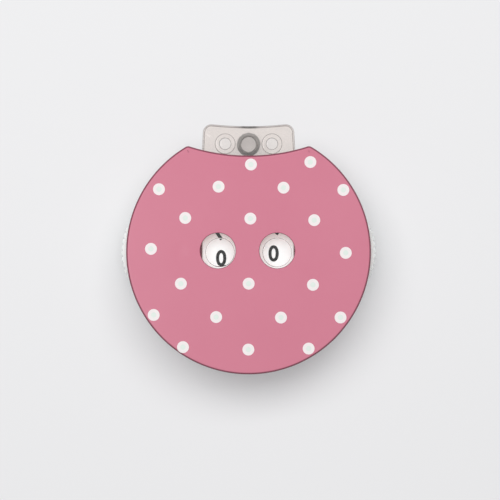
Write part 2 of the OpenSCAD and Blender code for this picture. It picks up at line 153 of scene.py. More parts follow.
def finishObject(name, draft, materials, body, hides, smoothAngle):
    # smooth shading up to an angle, in which the flats that face up and down keep their own direction
    facing = np.empty(len(draft.polygons) * 3, np.float32)
    draft.polygons.foreach_get("normal", facing)
    draft.polygons.foreach_set("use_smooth", np.abs(facing[2::3]) < meshing["level"])
    draft.set_sharp_from_angle(angle=radians(smoothAngle))
    obj = addObject(name, draft)
    weighted = obj.modifiers.new("flats", "WEIGHTED_NORMAL")
    weighted.keep_sharp, weighted.weight = True, meshing["flatWeight"]
    obj.data = evaluated(obj)
    obj.modifiers.clear()
    obj.data.name = name
    for material in materials:
        obj.data.materials.append(material)
    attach(obj, body)
    if hides:
        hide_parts(*hides)
    print("piece", name, len(obj.data.polygons), "faces")
    return obj


# small helpers for materials

def toLinear(hexColour):
    # sRGB hex to linear light, channel by channel
    channels = np.array([int(hexColour[i:i + 2], 16) for i in (1, 3, 5)]) / 255
    linear = np.where(channels <= 0.04045, channels / 12.92, ((channels + 0.055) / 1.055) ** 2.4)
    return (*linear, 1.0)


def addNode(tree, kind, settings=None, links=None):
    # one node: settings go to its attributes or its input sockets, links to its input sockets
    node = tree.nodes.new(kind)
    for key, value in (settings or {}).items():
        if isinstance(key, str) and hasattr(node, key):
            setattr(node, key, value)
        else:
            node.inputs[key].default_value = value
    for key, socket in (links or {}).items():
        tree.links.new(socket, node.inputs[key])
    return node


def newMaterial(name):
    # an empty material, its node tree and, in that, the piece's own coordinates
    material = bpy.data.materials.new(name)
    material.use_nodes = True
    tree = material.node_tree
    tree.nodes.clear()
    return material, tree, addNode(tree, "ShaderNodeTexCoord").outputs["Object"]


def softStep(low, high):
    # Map Range settings: 0 below low, 1 above high and a soft step between, or the other way round
    # where low is the higher
    return {"interpolation_type": "SMOOTHSTEP", "From Min": min(low, high), "From Max": max(low, high),
            "To Min": float(low > high), "To Max": float(low < high)}


def roundedness(tree, band):
    # 1 on rounded edges and 0 on walls and flats, by the four levels where it rises and falls: the
    # level |normal Z| is 1 on faces that look along the piece's Z axis and 0 on its side walls
    wall, rise, fall, flat = band
    facing = addNode(tree, "ShaderNodeTexCoord").outputs["Normal"]
    split = addNode(tree, "ShaderNodeSeparateXYZ", links={"Vector": facing})
    level = addNode(tree, "ShaderNodeMath", {"operation": "ABSOLUTE"}, {0: split.outputs["Z"]})
    rising = addNode(tree, "ShaderNodeMapRange", softStep(wall, rise), {"Value": level.outputs[0]})
    falling = addNode(tree, "ShaderNodeMapRange", softStep(flat, fall), {"Value": level.outputs[0]})
    return addNode(tree, "ShaderNodeMath", {"operation": "MULTIPLY"},
                   {0: rising.outputs["Result"], 1: falling.outputs["Result"]}).outputs[0]


def planLength(tree, x, y):
    # sqrt(x^2 + y^2)
    plan = addNode(tree, "ShaderNodeCombineXYZ", links={"X": x, "Y": y})
    length = addNode(tree, "ShaderNodeVectorMath", {"operation": "LENGTH"}, {0: plan.outputs["Vector"]})
    return length.outputs["Value"]


def letThrough(tree, share, shader, colour):
    # a share of the rays goes straight through, tinted
    through = addNode(tree, "ShaderNodeBsdfTransparent", {"Color": toLinear(colour)})
    mixed = addNode(tree, "ShaderNodeMixShader", links={0: share, 1: shader, 2: through.outputs["BSDF"]})
    return mixed.outputs["Shader"]


# the plate's two window holes, at -x and +x from "shift"; the materials of the plate and of the
# clear case below it change there too
windows = {"x": 5.85, "y": 0.25, "shift": -0.2, "radius": 3.5, "edge": 0.15}

# from the middle to each wheel's axis, over which the plate has its pins and their sink marks
axisX = 13.5


def aroundWindows(tree, split, shift):
    # reach = sqrt(out^2 + (Y - y)^2) from the nearer window's middle, with out = |X - shift| - x
    moved = addNode(tree, "ShaderNodeMath", {"operation": "SUBTRACT", 1: shift * mm}, {0: split.outputs["X"]})
    side = addNode(tree, "ShaderNodeMath", {"operation": "ABSOLUTE"}, {0: moved.outputs[0]})
    out = addNode(tree, "ShaderNodeMath", {"operation": "SUBTRACT", 1: windows["x"] * mm},
                  {0: side.outputs[0]})
    up = addNode(tree, "ShaderNodeMath", {"operation": "SUBTRACT", 1: windows["y"] * mm},
                 {0: split.outputs["Y"]})
    return planLength(tree, out.outputs[0], up.outputs[0]), out.outputs[0]


# materials

def coverPlastic():
    # gloss-moulded ABS, mass coloured pink: a clear hard shine over a slightly uneven body colour,
    # with painted shade, a deeper pink, on the rounded edges; some of the lamps' light goes through
    # the rim round each window, which is moulded thin; the plastic's own grain is finer and is drawn
    # coarse enough to show
    look = {"body": "#C8778B", "flow": "#C47186", "flowSize": 14.0, "ior": 1.53,
            "edgeShade": "#7A3448", "edgeUp": (0.1, 0.35, 0.86, 0.985),
            "roughness": (0.13, 0.21), "roughGrain": (0.3, 0.7), "grainSize": 0.25, "grain": 0.0006,
            "rippleSize": 5.0, "ripple": 0.004, "sinkRadius": 2.0, "sinkDepth": 0.025,
            "rimReach": (5.6, 6.4), "passes": "#DACCC9"}
    material, tree, where = newMaterial("pinkGlossAbs")
    flow = addNode(tree, "ShaderNodeTexNoise", {"Scale": 1 / (look["flowSize"] * mm), "Detail": 2.0},
                   {"Vector": where})
    ripple = addNode(tree, "ShaderNodeTexNoise", {"Scale": 1 / (look["rippleSize"] * mm), "Detail": 1.0},
                     {"Vector": where})
    grain = addNode(tree, "ShaderNodeTexNoise", {"Scale": 1 / (look["grainSize"] * mm), "Detail": 3.0},
                    {"Vector": where})
    # colour: the flow in the body, and painted shade, a deeper tone, on the rounded edges
    tone = addNode(tree, "ShaderNodeMix", {"data_type": "RGBA", 6: toLinear(look["body"]),
                   7: toLinear(look["flow"])}, {0: flow.outputs["Fac"]})
    # painted shade: the rounded edges turn darker pink the further they tilt from facing along Z
    depth = addNode(tree, "ShaderNodeMix", {"data_type": "RGBA", 7: toLinear(look["edgeShade"])},
                    {0: roundedness(tree, look["edgeUp"]), 6: tone.outputs[2]})
    fromGrain, toGrain = look["roughGrain"]
    smooth, rough = look["roughness"]
    gloss = addNode(tree, "ShaderNodeMapRange", {"From Min": fromGrain, "From Max": toGrain, "To Min": smooth,
                    "To Max": rough}, {"Value": grain.outputs["Fac"]})
    # relief: two shallow sink marks over the plate's pins, the ripple of the mould and a fine grain
    split = addNode(tree, "ShaderNodeSeparateXYZ", links={"Vector": where})
    side = addNode(tree, "ShaderNodeMath", {"operation": "ABSOLUTE"}, {0: split.outputs["X"]})
    off = addNode(tree, "ShaderNodeMath", {"operation": "SUBTRACT", 1: axisX * mm}, {0: side.outputs[0]})
    sink = addNode(tree, "ShaderNodeMapRange", {"interpolation_type": "SMOOTHSTEP", "From Min": 0.0,
                   "From Max": look["sinkRadius"] * mm, "To Min": -look["sinkDepth"] * mm, "To Max": 0.0},
                   {"Value": planLength(tree, off.outputs[0], split.outputs["Y"])})
    waves = addNode(tree, "ShaderNodeMath", {"operation": "MULTIPLY_ADD", 1: look["ripple"] * mm},
                    {0: ripple.outputs["Fac"], 2: sink.outputs["Result"]})
    height = addNode(tree, "ShaderNodeMath", {"operation": "MULTIPLY_ADD", 1: look["grain"] * mm},
                     {0: grain.outputs["Fac"], 2: waves.outputs[0]})
    bump = addNode(tree, "ShaderNodeBump", {"Distance": 1.0}, {"Height": height.outputs[0]})
    shader = addNode(tree, "ShaderNodeBsdfPrincipled", {"IOR": look["ior"]},
                     {"Base Color": depth.outputs[2], "Roughness": gloss.outputs["Result"],
                      "Normal": bump.outputs["Normal"]})
    # the thin rims pass lamplight: only shadow rays go through them
    inner, outer = look["rimReach"]
    reach = aroundWindows(tree, split, windows["shift"])[0]
    rim = addNode(tree, "ShaderNodeMapRange", softStep(outer * mm, inner * mm), {"Value": reach})
    path = addNode(tree, "ShaderNodeLightPath")
    thin = addNode(tree, "ShaderNodeMath", {"operation": "MULTIPLY"},
                   {0: rim.outputs["Result"], 1: path.outputs["Is Shadow Ray"]})
    surface = letThrough(tree, thin.outputs[0], shader.outputs["BSDF"], look["passes"])
    addNode(tree, "ShaderNodeOutputMaterial", links={"Surface": surface})
    return material


def printInk(name, body, patch, roughness, blotch, ior, relief=0.002):
    # pad-printed ink: a thin even film, a touch flatter than the plastic, thinner in small blotches
    material, tree, where = newMaterial(name)
    cloud = addNode(tree, "ShaderNodeTexNoise", {"Scale": 1 / (blotch * mm), "Detail": 3.0},
                    {"Vector": where})
    tone = addNode(tree, "ShaderNodeMix", {"data_type": "RGBA", 6: toLinear(body), 7: toLinear(patch)},
                   {0: cloud.outputs["Fac"]})
    bump = addNode(tree, "ShaderNodeBump", {"Distance": relief * mm}, {"Height": cloud.outputs["Fac"]})
    shader = addNode(tree, "ShaderNodeBsdfPrincipled", {"IOR": ior, "Roughness": roughness},
                     {"Base Color": tone.outputs[2], "Normal": bump.outputs["Normal"]})
    addNode(tree, "ShaderNodeOutputMaterial", links={"Surface": shader.outputs["BSDF"]})
    return material


def clearStyrene():
    # clear moulded polystyrene: glassy, with faint flow ripples from the mould, and painted shade that
    # makes the tab a touch darker and the rounded edges greyer; in each window the plastic is bloomed,
    # so that the figures stay dark, and a dark line painted on the outer side stands for the hole's
    # shaded wall; lamps and soft light go straight through the plastic
    look = {"tint": "#FFFFFF", "tabShade": "#FBF8F6", "tabShadeFrom": (16.0, 19.0), "ior": 1.53,
            "edge": "#8A837F", "edgeUp": (0.04, 0.2, 0.8, 0.96),
            "roughness": (0.015, 0.045), "rippleSize": 1.6, "ripple": 0.0015, "passes": "#FFFFFF",
            "glint": "#FFFFFF", "bloom": "#D9D9D9", "windowReach": (3.7, 3.9),
            "front": 10.3, "shade": "#3A1018", "shadeFrom": (2.95, 3.3), "shadeShift": -0.11}
    material, tree, where = newMaterial("clearStyrene")
    ripple = addNode(tree, "ShaderNodeTexNoise", {"Scale": 1 / (look["rippleSize"] * mm), "Detail": 2.0},
                     {"Vector": where})
    smooth, rough = look["roughness"]
    gloss = addNode(tree, "ShaderNodeMapRange", {"To Min": smooth, "To Max": rough},
                    {"Value": ripple.outputs["Fac"]})
    bump = addNode(tree, "ShaderNodeBump", {"Distance": look["ripple"] * mm},
                   {"Height": ripple.outputs["Fac"]})
    # colour of the body: painted shade, a touch darker on the tab and greyer on the rounded edges
    split = addNode(tree, "ShaderNodeSeparateXYZ", links={"Vector": where})
    # painted shade: the tab, from this height in Y upwards, is a touch darker than the rest
    low, high = look["tabShadeFrom"]
    tabShaded = addNode(tree, "ShaderNodeMapRange", softStep(low * mm, high * mm),
                      {"Value": split.outputs["Y"]})
    body = addNode(tree, "ShaderNodeMix", {"data_type": "RGBA", 6: toLinear(look["tint"]),
                   7: toLinear(look["tabShade"])}, {0: tabShaded.outputs["Result"]})
    # painted shade: the rounded edges turn greyer the further they tilt from facing along Z
    shadedEdges = addNode(tree, "ShaderNodeMix", {"data_type": "RGBA", 7: toLinear(look["edge"])},
                    {0: roundedness(tree, look["edgeUp"]), 6: body.outputs[2]})
    # the windows: bloom all over them, and a dark line of painted shade on the front shell's face, outwards
    # in each
    reach, out = aroundWindows(tree, split, look["shadeShift"])
    inner, outer = look["windowReach"]
    inside = addNode(tree, "ShaderNodeMapRange", softStep(outer * mm, inner * mm), {"Value": reach})
    front = addNode(tree, "ShaderNodeMath", {"operation": "GREATER_THAN", 1: look["front"] * mm},
                    {0: split.outputs["Z"]})
    shown = addNode(tree, "ShaderNodeMath", {"operation": "MULTIPLY"},
                    {0: inside.outputs["Result"], 1: front.outputs[0]})
    # painted shade: a dark red line that stands for the hole's shaded wall
    low, high = look["shadeFrom"]
    line = addNode(tree, "ShaderNodeMapRange", softStep(low * mm, high * mm), {"Value": out})
    shaded = addNode(tree, "ShaderNodeMath", {"operation": "MULTIPLY"},
                     {0: line.outputs["Result"], 1: shown.outputs[0]})
    tone = addNode(tree, "ShaderNodeMix", {"data_type": "RGBA", 7: toLinear(look["shade"])},
                   {0: shaded.outputs[0], 6: shadedEdges.outputs[2]})
    glint = addNode(tree, "ShaderNodeMix", {"data_type": "RGBA", 6: toLinear(look["glint"]),
                    7: toLinear(look["bloom"])}, {0: inside.outputs["Result"]})
    shader = addNode(tree, "ShaderNodeBsdfPrincipled", {"IOR": look["ior"], "Transmission Weight": 1.0},
                     {"Base Color": tone.outputs[2], "Roughness": gloss.outputs["Result"],
                      "Specular Tint": glint.outputs[2], "Normal": bump.outputs["Normal"]})
    path = addNode(tree, "ShaderNodeLightPath")
    soft = addNode(tree, "ShaderNodeMath", {"operation": "MAXIMUM"},
                   {0: path.outputs["Is Shadow Ray"], 1: path.outputs["Is Diffuse Ray"]})
    surface = letThrough(tree, soft.outputs[0], shader.outputs["BSDF"], look["passes"])
    addNode(tree, "ShaderNodeOutputMaterial", links={"Surface": surface})
    return material


def whiteAcetal():
    # white moulded acetal: milky, with a soft shine, a trace of light going in and a slight grain,
    # which is drawn coarser than the mould's own so that it shows
    look = {"body": "#F8FEFC", "shade": "#F3FAF7", "mottle": 1.2, "ior": 1.48, "roughness": 0.38,
            "grain": 0.12, "grainDepth": 0.004, "milk": 0.25, "milkDepth": 0.6, "milkReach": (1.0, 0.95, 0.9)}
    material, tree, where = newMaterial("whiteAcetal")
    mottle = addNode(tree, "ShaderNodeTexNoise", {"Scale": 1 / (look["mottle"] * mm), "Detail": 2.0},
                     {"Vector": where})
    grain = addNode(tree, "ShaderNodeTexNoise", {"Scale": 1 / (look["grain"] * mm), "Detail": 2.0},
                    {"Vector": where})
    tone = addNode(tree, "ShaderNodeMix", {"data_type": "RGBA", 6: toLinear(look["body"]),
                   7: toLinear(look["shade"])}, {0: mottle.outputs["Fac"]})
    bump = addNode(tree, "ShaderNodeBump", {"Distance": look["grainDepth"] * mm},
                   {"Height": grain.outputs["Fac"]})
    shader = addNode(tree, "ShaderNodeBsdfPrincipled", {"IOR": look["ior"], "Roughness": look["roughness"],
                     "Subsurface Weight": look["milk"], "Subsurface Radius": look["milkReach"],
                     "Subsurface Scale": look["milkDepth"] * mm},
                     {"Base Color": tone.outputs[2], "Normal": bump.outputs["Normal"]})
    addNode(tree, "ShaderNodeOutputMaterial", links={"Surface": shader.outputs["BSDF"]})
    return material


def springSteel():
    # drawn spring steel: bright grey, duller and rougher in small patches; the real draw lines are
    # finer than that, and the patches stand for them, coarse enough to show
    look = {"bright": "#A8A7A5", "dull": "#868583", "roughness": (0.22, 0.4), "patchSize": 0.18}
    material, tree, where = newMaterial("springSteel")
    patches = addNode(tree, "ShaderNodeTexNoise", {"Scale": 1 / (look["patchSize"] * mm), "Detail": 4.0},
                      {"Vector": where})
    tone = addNode(tree, "ShaderNodeMix", {"data_type": "RGBA", 6: toLinear(look["bright"]),
                   7: toLinear(look["dull"])}, {0: patches.outputs["Fac"]})
    smooth, rough = look["roughness"]
    gloss = addNode(tree, "ShaderNodeMapRange", {"To Min": smooth, "To Max": rough},
                    {"Value": patches.outputs["Fac"]})
    shader = addNode(tree, "ShaderNodeBsdfPrincipled", {"Metallic": 1.0},
                     {"Base Color": tone.outputs[2], "Roughness": gloss.outputs["Result"]})
    addNode(tree, "ShaderNodeOutputMaterial", links={"Surface": shader.outputs["BSDF"]})
    return material


pinkAbs = coverPlastic()
thinInk = printInk("thinWhiteInk", body="#DBE4DE", patch="#D4DDD7", roughness=0.3, blotch=0.5, ior=1.48)
whiteInk = printInk("thickWhiteInk", body="#EBE4E4", patch="#E4DDDD", roughness=0.3, blotch=0.5, ior=1.48)
blackInk = printInk("blackPadInk", body="#060808", patch="#0E1210", roughness=0.25, blotch=0.3, ior=1.25)
clear = clearStyrene()
acetal = whiteAcetal()
steel = springSteel()
print("materials made")


# cover plate

cover = {"radius": 24.2, "hollowRadius": 38.7, "hollowCentre": 57.76, "cornerRadius": 1.0, "outlineStep": 0.5,
         "back": 10.56, "face": 12.335, "edge": 0.5, "backEdge": 0.12, "band": 0.1, "land": 1.2,
         "holeSteps": 96, "holeLand": 0.2, "holeBackEdge": 0.05,
         "pinRadius": 1.0, "pinLength": 0.7, "pinEdge": 0.2, "pinRoot": 0.3, "pinSteps": 32}


def cornerArc():
    # the corner's circle touches the big circle from inside and the hollow's circle from outside: its
    # middle, and the angles at which its arc leaves the big circle and meets the hollow
    big, hollow = cover["radius"] - cover["cornerRadius"], cover["hollowRadius"] + cover["cornerRadius"]
    up = cover["hollowCentre"]
    y = (big * big - hollow * hollow + up * up) / (2 * up)
    x = sqrt(big * big - y * y)
    return x, y, atan2(y, x), atan2(up - y, -x)


def plateOutline(step):
    # the plate's outline as points and outward normals: an arc of the big circle, a corner arc,
    # the hollow's arc and the other corner arc, so that an inset is point minus inset times normal
    x, y, fromBig, toHollow = cornerArc()
    arcs = [((0, 0), cover["radius"], pi - fromBig, 2 * pi + fromBig, 1),
            ((x, y), cover["cornerRadius"], fromBig, toHollow, 1),
            ((0, cover["hollowCentre"]), cover["hollowRadius"], toHollow - pi, -toHollow, -1),
            ((-x, y), cover["cornerRadius"], pi - toHollow, pi - fromBig, 1)]
    points, normals = [], []
    for middle, radius, start, end, outward in arcs:
        steps = max(ceil(abs(end - start) * radius / step), 6)
        ray = rays(start + (end - start) * np.arange(steps) / steps)
        points.append(np.array(middle) + radius * ray)
        normals.append(outward * ray)
    return np.concatenate(points), np.concatenate(normals)


def outlineDepth(x, y):
    # how far a point lies inside the plate's outline
    cornerX, cornerY, fromBig, toHollow = cornerArc()
    inCircle = cover["radius"] - np.hypot(x, y)
    inHollow = np.hypot(x, y - cover["hollowCentre"]) - cover["hollowRadius"]
    across, up = np.abs(x) - cornerX, y - cornerY
    angle = np.arctan2(up, across)
    inCorner = np.where((angle > fromBig) & (angle < toHollow), cover["cornerRadius"] - np.hypot(across, up),
                        np.inf)
    return np.minimum(np.minimum(inCircle, inHollow), inCorner)


def ringsToGrid(outline, normals, rings):
    # a grid with a row for each (inset, height) pair: point minus inset times normal, at that height
    inset, height = np.array(rings).T
    plan = outline[None] - inset[:, None, None] * normals[None]
    return np.concatenate([plan, np.repeat(height[:, None], len(outline), 1)[..., None]], -1)


def flatFace(loops, z):
    # a flat face between an outer loop and the holes in it, as triangles
    triangles = tessellate_polygon([[Vector((*point, 0)) for point in loop] for loop in loops])
    return np.concatenate([np.c_[loop, np.full(len(loop), z)] for loop in loops]), triangles


def makeCover():
    # rings of the outline from the back's land round the edge to the face's land, a turned wall for
    # each window hole, flat faces between them, and two turned pins behind
    shell = Shell()
    outline, normals = plateOutline(cover["outlineStep"])
    back, face, edge, backEdge = (cover[key] for key in ("back", "face", "edge", "backEdge"))
    rings = [(cover["land"], back), (backEdge + cover["band"], back)]
    rings += [(backEdge - backEdge * sin(t), back + backEdge - backEdge * cos(t)) for t in quarterTurn(5)]
    rings += [(edge - edge * cos(t), face - edge + edge * sin(t)) for t in quarterTurn(13)]
    rings += [(edge + cover["band"], face), (cover["land"], face)]
    shell.add(ringsToGrid(outline, normals, rings), quads(len(rings), len(outline), wrapCols=True))

    hole, lip = windows["radius"], windows["edge"]
    reach = hole + lip + cover["holeLand"]
    wall = [(reach, face), (hole + lip + cover["band"], face)]
    wall += [(hole + lip - lip * sin(t), face - lip + lip * cos(t)) for t in quarterTurn(7)]
    wall += [(hole, back + cover["holeBackEdge"]), (hole + cover["holeBackEdge"], back), (reach, back)]
    loops = [outline - cover["land"] * normals]
    for side in (-1, 1):
        centre = (side * windows["x"] + windows["shift"], windows["y"])
        shell.add(*turned(wall, cover["holeSteps"], centre))
        loops.append(np.array(centre) + reach * rays(fullTurn(cover["holeSteps"])))
    shell.add(*flatFace(loops, face))
    shell.add(*flatFace(loops, back))

    radius, pinEdge = cover["pinRadius"], cover["pinEdge"]
    tip, root = back - cover["pinLength"], back + cover["pinRoot"]
    pin = [(0, tip), (radius - pinEdge, tip), (radius, tip + pinEdge), (radius, root), (0, root)]
    for side in (-1, 1):
        shell.add(*turned(pin, cover["pinSteps"], (side * axisX, 0)))
    mesh = buildMesh("coverPlate", np.concatenate(shell.points), shell.faces)
    finishObject("coverPlate", mesh, [pinkAbs], "case", ["front_cover"], smoothAngle=35)


makeCover()

# printed dots: the ink is thin in a dot's middle and thick, so whiter, from "thick" outwards, and it
# stops "margin" inside the plate's outline

dots = {"radius": 1.17, "film": 0.015, "rings": 10, "steps": 48, "thick": 0.55, "margin": 0.02,
        "centres": [(0.47, 17.27), (12.2, 17.75),
                    (-17.69, 12.38), (-5.92, 12.89), (6.91, 12.69), (18.71, 12.24),
                    (-12.5, 6.71), (0.36, 6.59), (12.97, 6.28), (-19.27, 0.61), (19.19, -0.18),
                    (-13.36, -6.26), (0.02, -6.26), (12.71, -6.49),
                    (-18.73, -12.44), (-6.4, -12.85), (6.4, -12.95), (18.16, -12.93),
                    (-12.95, -18.79), (-0.04, -19.27), (11.86, -19.07)]}


def coverHeight(x, y):
    # the height of the plate's face: flat, then down along the quarter circle of its edge
    edge = cover["edge"]
    depth = np.clip(outlineDepth(x, y), dots["margin"], edge)
    return cover["face"] - edge + np.sqrt(edge ** 2 - (edge - depth) ** 2)


def makeDots():
    # each dot is a polar grid laid on the plate's face, with a thin closed edge
    shell = Shell()
    reach = np.r_[np.linspace(0, 1, dots["rings"]), 1.0] * dots["radius"]
    around = fullTurn(dots["steps"])
    for middleX, middleY in dots["centres"]:
        x, y = middleX + np.outer(reach, np.cos(around)), middleY + np.outer(reach, np.sin(around))
        top = coverHeight(x, y) + dots["film"]
        top[-1] -= 2 * dots["film"]
        under = coverHeight(x[:-1], y[:-1])[::-1] - dots["film"]
        points = np.stack([np.r_[x, x[:-1][::-1]], np.r_[y, y[:-1][::-1]], np.r_[top, under]], -1)
        shell.add(points, quads(len(points), len(around), wrapCols=True))
    mesh = buildMesh("coverDots", np.concatenate(shell.points), shell.faces)
    obj = finishObject("coverDots", mesh, [thinInk, whiteInk], "case", (), smoothAngle=35)
    middles = np.empty(len(obj.data.polygons) * 3)
    obj.data.polygons.foreach_get("center", middles)
    away = np.linalg.norm(middles.reshape(-1, 1, 3)[..., :2] / mm - np.array(dots["centres"]), axis=-1).min(1)
    obj.data.polygons.foreach_set("material_index", (away > dots["thick"]).astype(np.int32))


makeDots()

# clear parts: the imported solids, whose outer edges are rounded as a mould rounds them

case = {"inset": 0.4, "face": 10.55, "outlineStep": 0.6}
tab = {"half": 9.1, "flare": 0.3, "dipRadius": 69.307, "dipCentre": 94.317, "corner": 1.7, "root": 17.46,
       "step": 0.3, "back": 5.9, "split": 7.4, "face": 8.9, "pinX": 4.64, "pinY": 21.46, "pinRadius": 1.2,
       "ringRadius": 2.05, "ringFace": 9.2, "padBack": 0.0, "padFace": 1.6,
       "sideStep": 0.25, "cornerSteps": 15, "dipSteps": 46, "ringSteps": 96, "pinSteps": 48}
# edge radii, where the rounded edges start along Y, how far a cutter stands off the edge outside it,
# and what comes off the front shell's parting face, so that two clear faces don't lie in one place
rounded = {"tab": 0.3, "case": 0.15, "ring": 0.22, "pin": 0.17, "tabBack": 0.4, "tabSplit": 0.2, "pad": 0.4,
           "tabFrom": 18.0, "splitFrom": 19.3, "padFrom": 17.2, "standOff": 0.4,
           "partingFrom": 6.0, "partingGap": 0.015, "slabHalf": 40.0}


def tabOutline(inset, rootY):
    # the tab's outline from its right root round to its left root, as points and outward normals:
    # a near straight side, a corner arc, the dip's long arc, then the corner and the side mirrored
    half, corner, dip = tab["half"] - inset, tab["corner"] - inset, tab["dipRadius"] + inset
    cornerX = half - corner
    cornerY = tab["dipCentre"] - sqrt((dip + corner) ** 2 - cornerX * cornerX)
    toDip = atan2(tab["dipCentre"] - cornerY, -cornerX)
    steps = int((cornerY - rootY) / tab["sideStep"])
    y = np.linspace(rootY, cornerY, steps, endpoint=False)
    x = half + tab["flare"] * (cornerY - y) / (cornerY - tab["root"])
    tilt = atan2(tab["flare"], cornerY - tab["root"])
    sideNormals = np.tile([cos(tilt), sin(tilt)], (steps, 1))
    cornerRay = rays(np.linspace(0, toDip, tab["cornerSteps"]))
    dipRay = rays(np.linspace(toDip - pi, -toDip, tab["dipSteps"])[1:-1])
    right = np.concatenate([np.stack([x, y], -1), np.array([cornerX, cornerY]) + corner * cornerRay])
    rightNormals = np.concatenate([sideNormals, cornerRay])
    flip = np.array([-1, 1])
    points = np.concatenate([right, np.array([0, tab["dipCentre"]]) + dip * dipRay, right[::-1] * flip])
    return points, np.concatenate([rightNormals, -dipRay, rightNormals[::-1] * flip])


def circleOutline(x, y, radius, steps):
    # points on a circle and their outward normals
    ray = rays(fullTurn(steps))
    return np.array([x, y]) + radius * ray, ray


def edgeCutter(points, normals, z, radius, up, closed):
    # what an edge of that radius loses: a corner section with a quarter circle bitten out of it,
    # carried along the outline at height z, for an upper edge (up 1) or a lower one (up -1)
    off = rounded["standOff"]
    section = [(-radius + radius * sin(t), -radius + radius * cos(t)) for t in quarterTurn(7)]
    section += [(off, -radius), (off, off), (-radius, off)]
    out, rise = np.array(section).T
    plan = points[:, None] + out[None, :, None] * normals[:, None]
    height = np.broadcast_to(z + up * rise, plan.shape[:2])
    grid = np.concatenate([plan, height[..., None]], -1)
    faces = quads(len(points), len(section), wrapRows=closed, wrapCols=True).tolist()
    if not closed:
        faces += endCaps(len(points), len(section))
    return grid.reshape(-1, 3), faces


def slabCutter(low, high):
    # a wide flat box between two heights
    half = rounded["slabHalf"]
    square = ((-half, -half), (half, -half), (half, half), (-half, half))
    corners = np.array([(x, y, z) for z in (low, high) for x, y in square])
    return corners, [(0, 3, 2, 1), (4, 5, 6, 7), (0, 1, 5, 4), (1, 2, 6, 5), (2, 3, 7, 6), (3, 0, 4, 7)]


def fromNode(node, name, cutters, body):
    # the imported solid's own surface, its loose triangles joined, less what the cutters take
    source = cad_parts[node].data
    draft = bpy.data.meshes.new(name + "Draft")
    triangles = [tuple(polygon.vertices) for polygon in source.polygons]
    draft.from_pydata(meshPoints(source).tolist(), [], triangles)
    joinNodeDoubles(draft)
    obj = addObject(name + "Draft", draft)
    tools = []
    for points, faces in cutters:
        tool = addObject("cutter", buildMesh("cutter", points, faces, joined=False))
        cut = obj.modifiers.new("edge", "BOOLEAN")
        cut.operation, cut.solver, cut.object = "DIFFERENCE", "MANIFOLD", tool
        tools.append(tool)
    done = evaluated(obj)
    for used in [obj, *tools]:
        bpy.data.objects.remove(used)
    openEdges = joinNodeDoubles(done)
    print(name, "open edges", openEdges)
    done.materials.clear()
    done.polygons.foreach_set("material_index", np.zeros(len(done.polygons), np.int32))
    finishObject(name, done, [clear], body, [node], smoothAngle=28)


def makeClear():
    plate, plateNormals = plateOutline(case["outlineStep"])
    walls = plate - case["inset"] * plateNormals
    pinMiddles = [(-tab["pinX"], tab["pinY"]), (tab["pinX"], tab["pinY"])]
    rings = [circleOutline(*middle, tab["ringRadius"], tab["ringSteps"]) for middle in pinMiddles]
    pins = [circleOutline(*middle, tab["pinRadius"], tab["pinSteps"]) for middle in pinMiddles]
    tabFront = tabOutline(tab["step"], rounded["tabFrom"])
    tabBack = tabOutline(0, rounded["tabFrom"])
    tabSplit = tabOutline(0, rounded["splitFrom"])
    pad = tabOutline(0, rounded["padFrom"])
    frontCuts = [slabCutter(rounded["partingFrom"], tab["split"] + rounded["partingGap"]),
                 edgeCutter(*tabFront, tab["face"], rounded["tab"], 1, False),
                 edgeCutter(walls, plateNormals, case["face"], rounded["case"], 1, True),
                 *[edgeCutter(*ring, tab["ringFace"], rounded["ring"], 1, True) for ring in rings]]
    rearCuts = [edgeCutter(*tabBack, tab["back"], rounded["tabBack"], -1, False),
                edgeCutter(*tabSplit, tab["split"], rounded["tabSplit"], 1, False),
                *[edgeCutter(*pin, tab["ringFace"], rounded["pin"], 1, True) for pin in pins]]
    leverCuts = [edgeCutter(*pad, tab["padFace"], rounded["pad"], 1, False),
                 edgeCutter(*pad, tab["padBack"], rounded["pad"], -1, False)]
    fromNode("front_shell", "frontShell", frontCuts, "case")
    fromNode("rear_shell", "rearShell", rearCuts, "case")
    fromNode("clip_lever", "clipLever", leverCuts, "clip")


makeClear()

# number wheels: "grooveEdge" breaks the small edges, "crest" is how far two more points stand from
# the click ring's middle, the rim's bevel is a chamfer that starts and ends in a slight slope, and
# "near" is the tolerance that picks out the ring's own points

wheel = {"back": 6.25, "face": 8.65, "radius": 11.8, "bore": 1.55, "hub": 3.2, "web": 1.1,
         "rim": 1.9, "ring": 5.7, "ringWidth": 2.4, "crest": 0.6, "grooveEdge": 0.08, "faceRings": (8.0, 3.0),
         "chamfer": 0.25, "slope": 0.03, "slopeIn": 0.3, "slopeUp": 0.15,
         "teeth": 60, "toothDepth": 0.35, "toothMiddle": 0.75, "toothHalf": 0.25, "toothStart": 0.05,
         "notches": 10, "notchDepth": 0.5, "near": 0.01, "steps": 960}


